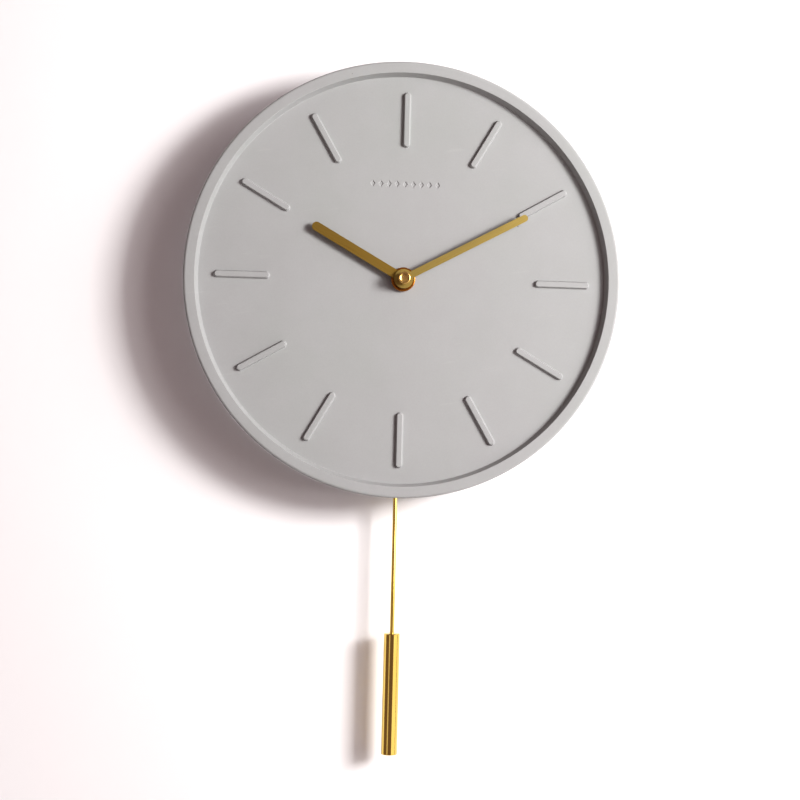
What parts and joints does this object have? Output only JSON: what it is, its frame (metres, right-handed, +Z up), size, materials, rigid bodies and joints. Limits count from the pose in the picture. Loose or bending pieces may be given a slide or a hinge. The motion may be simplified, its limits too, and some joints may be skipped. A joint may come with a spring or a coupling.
{
  "type": "pendulum wall clock",
  "caption": "Round concrete wall clock with raised hour bars, brass hands, a battery quartz movement and a swinging brass pendulum rod and bob.",
  "frame": {"origin": "centre of the keyhole's round hole, on the hanger plate's wall face", "axes": "+Z up; the dial faces -Y; +X to the right as seen from the front; the wall plane is y = 0"},
  "size_m": [0.3, 0.0522, 0.478],
  "materials": {
    "concrete": "smooth cast concrete, matte, soft grey mottling",
    "hanger_steel": "zinc-plated pressed steel",
    "screw_steel": "zinc-plated screws",
    "pad_rubber": "black rubber",
    "housing_plastic": "black moulded plastic",
    "hand_brass": "satin brass sheet",
    "turned_brass": "turned brass, fine rings",
    "polished_brass": "polished brass",
    "gear_nylon": "natural moulded acetal",
    "magnet": "nickel-plated magnet",
    "stator_steel": "rolled soft iron",
    "copper_wire": "enamelled copper wire",
    "board": "green solder resist",
    "chip_black": "black potting",
    "battery_jacket": "printed battery jacket, no marks"
  },
  "bodies": {
    "clock_case": {"case": "concrete", "hanger_plate": "hanger_steel", "hanger_screws": "screw_steel", "wall_bumpers": "pad_rubber", "rubber_gasket": "pad_rubber", "movement_housing": "housing_plastic", "movement_cover": "housing_plastic", "cover_screws": "screw_steel", "dial_washer": "turned_brass", "dial_nut": "turned_brass", "stator": "stator_steel", "coil_core": "stator_steel", "motor_coil": "copper_wire", "train_bridge": "gear_nylon", "train_screws": "screw_steel", "circuit_board": "board", "quartz_crystal": "hanger_steel", "clock_chip": "chip_black", "contact_plus": "hanger_steel", "contact_minus": "hanger_steel", "swing_pin": "screw_steel", "drive_bobbin": "gear_nylon", "drive_coil": "copper_wire"},
    "minute_set": {"minute_hand": "hand_brass", "cap_nut": "turned_brass", "cannon_pinion": "gear_nylon"},
    "hour_set": {"hour_hand": "hand_brass", "hour_wheel": "gear_nylon"},
    "setting_set": {"minute_wheel": "gear_nylon", "setting_knob": "gear_nylon"},
    "centre_set": {"centre_wheel": "gear_nylon"},
    "third_set": {"third_wheel": "gear_nylon"},
    "seconds_set": {"seconds_wheel": "gear_nylon"},
    "intermediate_set": {"intermediate_wheel": "gear_nylon"},
    "rotor_set": {"rotor_pinion": "gear_nylon", "rotor_magnet": "magnet"},
    "battery_set": {"battery": "battery_jacket", "battery_button": "hanger_steel"},
    "pendulum": {"pendulum_arm": "gear_nylon", "arm_magnet": "magnet", "pendulum_eye": "polished_brass", "pendulum_rod": "polished_brass", "bob_tube": "polished_brass", "bob_caps": "polished_brass"}
  },
  "joints": [
    {"name": "minute_turn", "type": "hinge", "parent": "clock_case", "child": "minute_set", "pos_m": [0, -0.045, -0.118], "axis": [0, 1, 0], "continuous": true},
    {"name": "hour_turn", "type": "hinge", "parent": "clock_case", "child": "hour_set", "pos_m": [0, -0.0426, -0.118], "axis": [0, 1, 0], "continuous": true},
    {"name": "setting_turn", "type": "hinge", "parent": "clock_case", "child": "setting_set", "pos_m": [-0.00849, -0.02, -0.12649], "axis": [0, 1, 0], "continuous": true},
    {"name": "seconds_turn", "type": "hinge", "parent": "clock_case", "child": "seconds_set", "pos_m": [-0.00493, -0.02, -0.10494], "axis": [0, 1, 0], "continuous": true},
    {"name": "third_turn", "type": "hinge", "parent": "clock_case", "child": "third_set", "pos_m": [-0.00935, -0.02, -0.1126], "axis": [0, 1, 0], "continuous": true},
    {"name": "centre_turn", "type": "hinge", "parent": "clock_case", "child": "centre_set", "pos_m": [0, -0.02, -0.118], "axis": [0, 1, 0], "continuous": true},
    {"name": "intermediate_turn", "type": "hinge", "parent": "clock_case", "child": "intermediate_set", "pos_m": [-0.00925, -0.02, -0.0998], "axis": [0, 1, 0], "continuous": true},
    {"name": "rotor_turn", "type": "hinge", "parent": "clock_case", "child": "rotor_set", "pos_m": [-0.01557, -0.02, -0.10209], "axis": [0, 1, 0], "continuous": true},
    {"name": "battery_out", "type": "slide", "parent": "clock_case", "child": "battery_set", "axis": [0, 1, 0], "range_m": [0, 0.022]},
    {"name": "pendulum_swing", "type": "hinge", "parent": "clock_case", "child": "pendulum", "pos_m": [0, -0.018, -0.156], "axis": [0, 1, 0], "range_deg": [-8, 8]}
  ],
  "couplings": [
    {"joint": "hour_turn", "follows": "minute_turn", "ratio": 0.083333},
    {"joint": "setting_turn", "follows": "minute_turn", "ratio": -0.33333},
    {"joint": "third_turn", "follows": "seconds_turn", "ratio": -0.13333},
    {"joint": "centre_turn", "follows": "seconds_turn", "ratio": 0.016667},
    {"joint": "intermediate_turn", "follows": "seconds_turn", "ratio": -6},
    {"joint": "rotor_turn", "follows": "seconds_turn", "ratio": 30}
  ]
}
